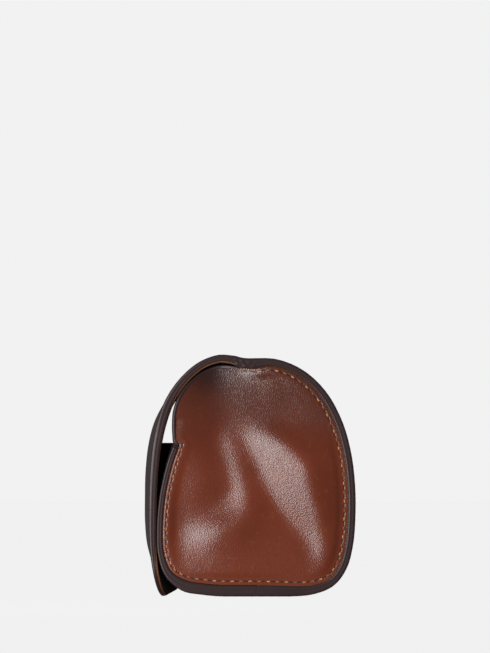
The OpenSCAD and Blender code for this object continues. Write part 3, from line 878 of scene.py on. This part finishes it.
def free_edge(name, side):
    """Paint round a gusset's free edge and the edge of its lining."""
    path = np.vstack([RIM_FREE[4:], RIM_FREE[-1] + np.array(EDGE_TURN)])
    t = np.gradient(path, axis=0)
    t /= np.linalg.norm(t, axis=1, keepdims=True)
    out = np.stack([t[:, 1], -t[:, 0]], 1)
    along = np.concatenate([[0], np.cumsum(np.linalg.norm(np.diff(path, axis=0), axis=1))])
    held = sewn_share(SEWN_L + along)
    total = GUSSET_T + GLUE + GUSSET_LINING_T
    section = [(-1.3, -0.05), (-1.15, -0.12), (-0.3, -0.14), (0.1, 0.02), (0.34, 0.35), (0.44, 0.9),
               (0.44, total - 0.7), (0.3, total - 0.15), (0.0, total + 0.05), (-0.9, total + 0.06)]
    size = smooth(np.minimum(along / 6, (along[-1] - along) / 3 + 0.6))
    rings = []
    for p, o, h, f in zip(path, out, held, size):
        ring = []
        for w, d in section:
            q = p + o * (w * (0.3 + 0.7 * f))
            rise = float(relief(q[None])[0]) * (1 - h)
            ring.append((side * (HALF_W - GUSSET_RECESS + rise - d), *q))
        rings.append(ring)
    rings = np.array(rings)
    verts, faces = tube_mesh(rings if side < 0 else rings[:, ::-1])
    obj = make(name, verts, faces, [PAINT])
    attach(obj, "case_body")


def build_gussets():
    for side, label in ((1, "right"), (-1, "left")):
        leather = gusset_layer("gusset_leather_" + label, side, 0, GUSSET_T, [GUSSET])
        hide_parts("gusset_" + label)
        cloth = gusset_layer("gusset_cloth_" + label, side, GUSSET_T + GLUE, GUSSET_LINING_T, [CLOTH])
        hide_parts("gusset_lining_" + label)
        free_edge("gusset_edge_paint_" + label, side)


# ---- thread ----

def thread_piece(name, light, dark, node, body):
    """Rows of stitches: light ones on a gusset's face, and dark ones on the strip's outer face."""
    parts = light + dark
    verts, faces = joined(parts)
    dark_from = sum(len(part[1]) for part in light)
    obj = make(name, verts, faces, [THREAD, DARK_THREAD], (np.arange(len(faces)) >= dark_from).astype(int))
    tint = [np.full(len(part[0]), 0.5 + 0.5 * math.sin(7.3 * (k // 2) + 1.9 * math.sin(2.1 * (k // 2))))
            for k, part in enumerate(parts)]
    attribute(obj, "tint", np.concatenate(tint))
    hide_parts(node)
    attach(obj, body)


def strip_row(s, x):
    """A dense path of points on the strip's outer face, with its outward normals."""
    u = u_at(s)
    path = strip_at(u, x, OUTER_SINK)
    return path, path - strip_at(u, x, OUTER_SINK + 1)


def build_threads():
    """The gussets' seams, seen from both sides, and the mouth's and the flap's own rows."""
    points, insets, s = gusset_grid()
    ring = GUSSET_INSETS.index(SEAM_IN)
    sewn = (s > 0.3) & (s < SEWN_L + LAST_STITCHES)
    yz = points[ring][sewn]
    height = gusset_height(points, insets, s)[ring][sewn]
    for side, label in ((1, "right"), (-1, "left")):
        face_path = np.column_stack([side * (HALF_W - GUSSET_RECESS + height), yz])
        normals = np.tile([float(side), 0, 0], (len(yz), 1))
        light = phased_humps(face_path, normals, s[sewn] / PITCH - FIRST_STITCH)
        rows = np.arange(0.5, CREASE_S - 1, 0.4)
        path, up = strip_row(rows, side * SEAM_X + 0 * rows)
        dark = phased_humps(path, up, rows / PITCH - FIRST_STITCH)
        thread_piece("seam_stitches_" + label, light, dark, "seam_thread_" + label, "case_body")
    x = np.arange(-(HALF_W - 1.5 * MARGIN), HALF_W - 1.5 * MARGIN, 0.4)
    path, up = strip_row(MARGIN + 0 * x, x)
    thread_piece("mouth_stitches", [], phased_humps(path, up, x / PITCH + 0.5), "mouth_thread", "case_body")
    build_flap_thread()


def build_flap_thread():
    """The row round the flap, from the crease to the middle of its tip on each side."""
    r = FLAP_CORNER_R - MARGIN
    turn = TIP_S - FLAP_CORNER_R
    parts = []
    for side in (1, -1):
        s = np.arange(CREASE_S + 3, turn, 0.4)
        a = np.linspace(0, math.pi / 2, 40)
        x = np.arange(HALF_W - FLAP_CORNER_R, 0, -0.4)
        path_s = np.concatenate([s, turn + r * np.sin(a), np.full(len(x), TIP_S - MARGIN)])
        path_x = np.concatenate([np.full(len(s), SEAM_X), HALF_W - FLAP_CORNER_R + r * np.cos(a), x]) * side
        inset, along = outline_distance(path_s, path_x)
        path, up = strip_row(path_s, path_x)
        parts += phased_humps(path, up, (along - CREASE_S - MARGIN) / PITCH)
    thread_piece("flap_stitches", [], parts, "flap_thread", "flap")


def phased_humps(path, normals, phase):
    """Humps of thread wherever the phase, counted in stitches, comes to a whole number."""
    keep = np.concatenate([[True], np.diff(phase) > 1e-6])
    path, normals, phase = path[keep], normals[keep], phase[keep]
    lengths = np.concatenate([[0], np.cumsum(np.linalg.norm(np.diff(path, axis=0), axis=1))])
    parts = []
    for k in range(math.ceil(phase[0]), math.floor(phase[-1]) + 1):
        middle_s = np.interp(k, phase, lengths)
        if STITCH_L / 2 < middle_s < lengths[-1] - STITCH_L / 2:
            parts += hump(path, normals, lengths, middle_s)
    return parts


def hump(path, normals, lengths, middle_s):
    """One stitch: two plies that rise out of one needle slot and go down into the next."""
    t = np.linspace(-1, 1, 9)
    s = middle_s + t * STITCH_L / 2
    centre = np.stack([np.interp(s, lengths, path[:, i]) for i in range(3)], 1)
    up = np.stack([np.interp(s, lengths, normals[:, i]) for i in range(3)], 1)
    up /= np.linalg.norm(up, axis=1, keepdims=True)
    along = np.gradient(centre, axis=0)
    along /= np.linalg.norm(along, axis=1, keepdims=True)
    side = np.cross(along, up)
    rise = (0.42 * np.sqrt(np.maximum(1 - t ** 2, 0)) - 0.28)[:, None]
    parts = []
    for ply in (0, math.pi):
        turn = ply + t * math.pi * 1.1
        offset = THREAD_D * 0.24
        core = centre + up * (rise + offset * np.sin(turn)[:, None]) + side * offset * np.cos(turn)[:, None]
        ring = np.linspace(0, 2 * math.pi, 8, endpoint=False)
        spoke = np.cos(ring)[None, :, None] * side[:, None] + np.sin(ring)[None, :, None] * up[:, None]
        parts.append(tube_mesh(core[:, None] + THREAD_D * 0.30 * spoke))
    return parts


# ---- what the CAD already shapes ----

def dress_nodes():
    """The board and the magnets keep their CAD shapes and get finished materials."""
    for name, material in (("base_board", BOARD), ("body_magnets", NICKEL), ("flap_magnets", NICKEL)):
        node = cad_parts[name]
        node.data.materials.clear()
        node.data.materials.append(material)


# ---- studio ----

BACKGROUND = 0.887       # linear grey of the paper behind the case
CAMERA_D = 8.0
FRAME_H = 0.2968         # height of the view in metres, at the near gusset
VIEW_Y, VIEW_Z = -0.0024, 0.1227
EYE_Y, EYE_Z = -0.030, 0.055
LIGHT_AIM_Z = 0.055
FLOOR_HALF = 30000       # mm
FLOOR_DROP = 0.0002      # metres that the floor lies under the case, clear of its underside


def aim(obj, target):
    obj.rotation_mode = "QUATERNION"
    obj.rotation_quaternion = (Vector(target) - obj.location).to_track_quat("-Z", "Y")


def build_camera():
    """A long lens square on to the right gusset."""
    data = bpy.data.cameras.new("camera")
    data.sensor_width = 36
    data.lens = 36 * CAMERA_D / FRAME_H
    data.clip_start, data.clip_end = 0.1, 100
    cam = bpy.data.objects.new("camera", data)
    bpy.context.scene.collection.objects.link(cam)
    cam.location = (HALF_W * MM + CAMERA_D, EYE_Y, EYE_Z)
    aim(cam, (HALF_W * MM, VIEW_Y, VIEW_Z))
    bpy.context.scene.camera = cam


def softbox(name, azimuth, elevation, distance, size, power):
    """An area light round the case; azimuth 90 is out from the right gusset, 0 out in front."""
    a, e = math.radians(azimuth), math.radians(elevation)
    data = bpy.data.lights.new(name, "AREA")
    data.shape = "RECTANGLE"
    data.size, data.size_y = size
    data.energy = power
    light = bpy.data.objects.new(name, data)
    bpy.context.scene.collection.objects.link(light)
    middle = Vector((0, 0, LIGHT_AIM_Z))
    away = Vector((math.sin(a) * math.cos(e), -math.cos(a) * math.cos(e), math.sin(e)))
    light.location = middle + distance * away
    aim(light, middle)


def build_world():
    """Pale paper to the camera, and a dim white room to everything else."""
    world = bpy.data.worlds.new("studio")
    bpy.context.scene.world = world
    world.use_nodes = True
    tree = world.node_tree
    tree.nodes.clear()
    path = tree.nodes.new("ShaderNodeLightPath")
    seen = tree.nodes.new("ShaderNodeBackground")
    seen.inputs[0].default_value = (BACKGROUND, BACKGROUND, BACKGROUND, 1)
    around = tree.nodes.new("ShaderNodeBackground")
    around.inputs[0].default_value = (0.98, 0.98, 1.0, 1)
    around.inputs[1].default_value = 0.16
    mix = tree.nodes.new("ShaderNodeMixShader")
    out = tree.nodes.new("ShaderNodeOutputWorld")
    tree.links.new(path.outputs["Is Camera Ray"], mix.inputs[0])
    tree.links.new(around.outputs[0], mix.inputs[1])
    tree.links.new(seen.outputs[0], mix.inputs[2])
    tree.links.new(mix.outputs[0], out.inputs[0])


def build_floor():
    """A plain pale floor that melts into the paper behind the case."""
    size = FLOOR_HALF
    corners = [[-size, -size, 0], [size, -size, 0], [size, size, 0], [-size, size, 0]]
    floor = make("floor", corners, [[0, 1, 2, 3]], [])
    n = Nodes("floor")
    tree = n.tree
    tree.nodes.remove(n.shader)
    glow = n.add("ShaderNodeEmission", Color=(1, 1, 1, 1), Strength=0.872)
    matt = n.add("ShaderNodeBsdfDiffuse", Color=(0.02, 0.02, 0.02, 1))
    total = n.add("ShaderNodeAddShader")
    dim = n.add("ShaderNodeBsdfDiffuse", Color=(0.18, 0.18, 0.18, 1))
    path = n.add("ShaderNodeLightPath")
    mix = n.add("ShaderNodeMixShader")
    n.link(glow.outputs[0], total.inputs[0])
    n.link(matt.outputs[0], total.inputs[1])
    n.link(path.outputs["Is Camera Ray"], mix.inputs[0])
    n.link(dim.outputs[0], mix.inputs[1])
    n.link(total.outputs[0], mix.inputs[2])
    n.link(mix.outputs[0], tree.nodes["Material Output"].inputs[0])
    floor.data.materials.append(n.material)
    floor.location.z = -FLOOR_DROP
    floor.visible_glossy = False    # the leather mirrors the softbox, which reaches below the floor
    floor.visible_shadow = False


def build_studio():
    build_world()
    build_floor()
    softbox("key", 61, 2, 1.2, (0.30, 0.82), 12.0)
    softbox("back_fill", 230, 25, 1.5, (0.8, 0.8), 4.0)
    scene = bpy.context.scene
    scene.view_settings.view_transform = "Standard"
    scene.view_settings.look = "None"


build_camera()
build_strip()
build_edges()
build_gussets()
build_threads()
dress_nodes()
build_studio()
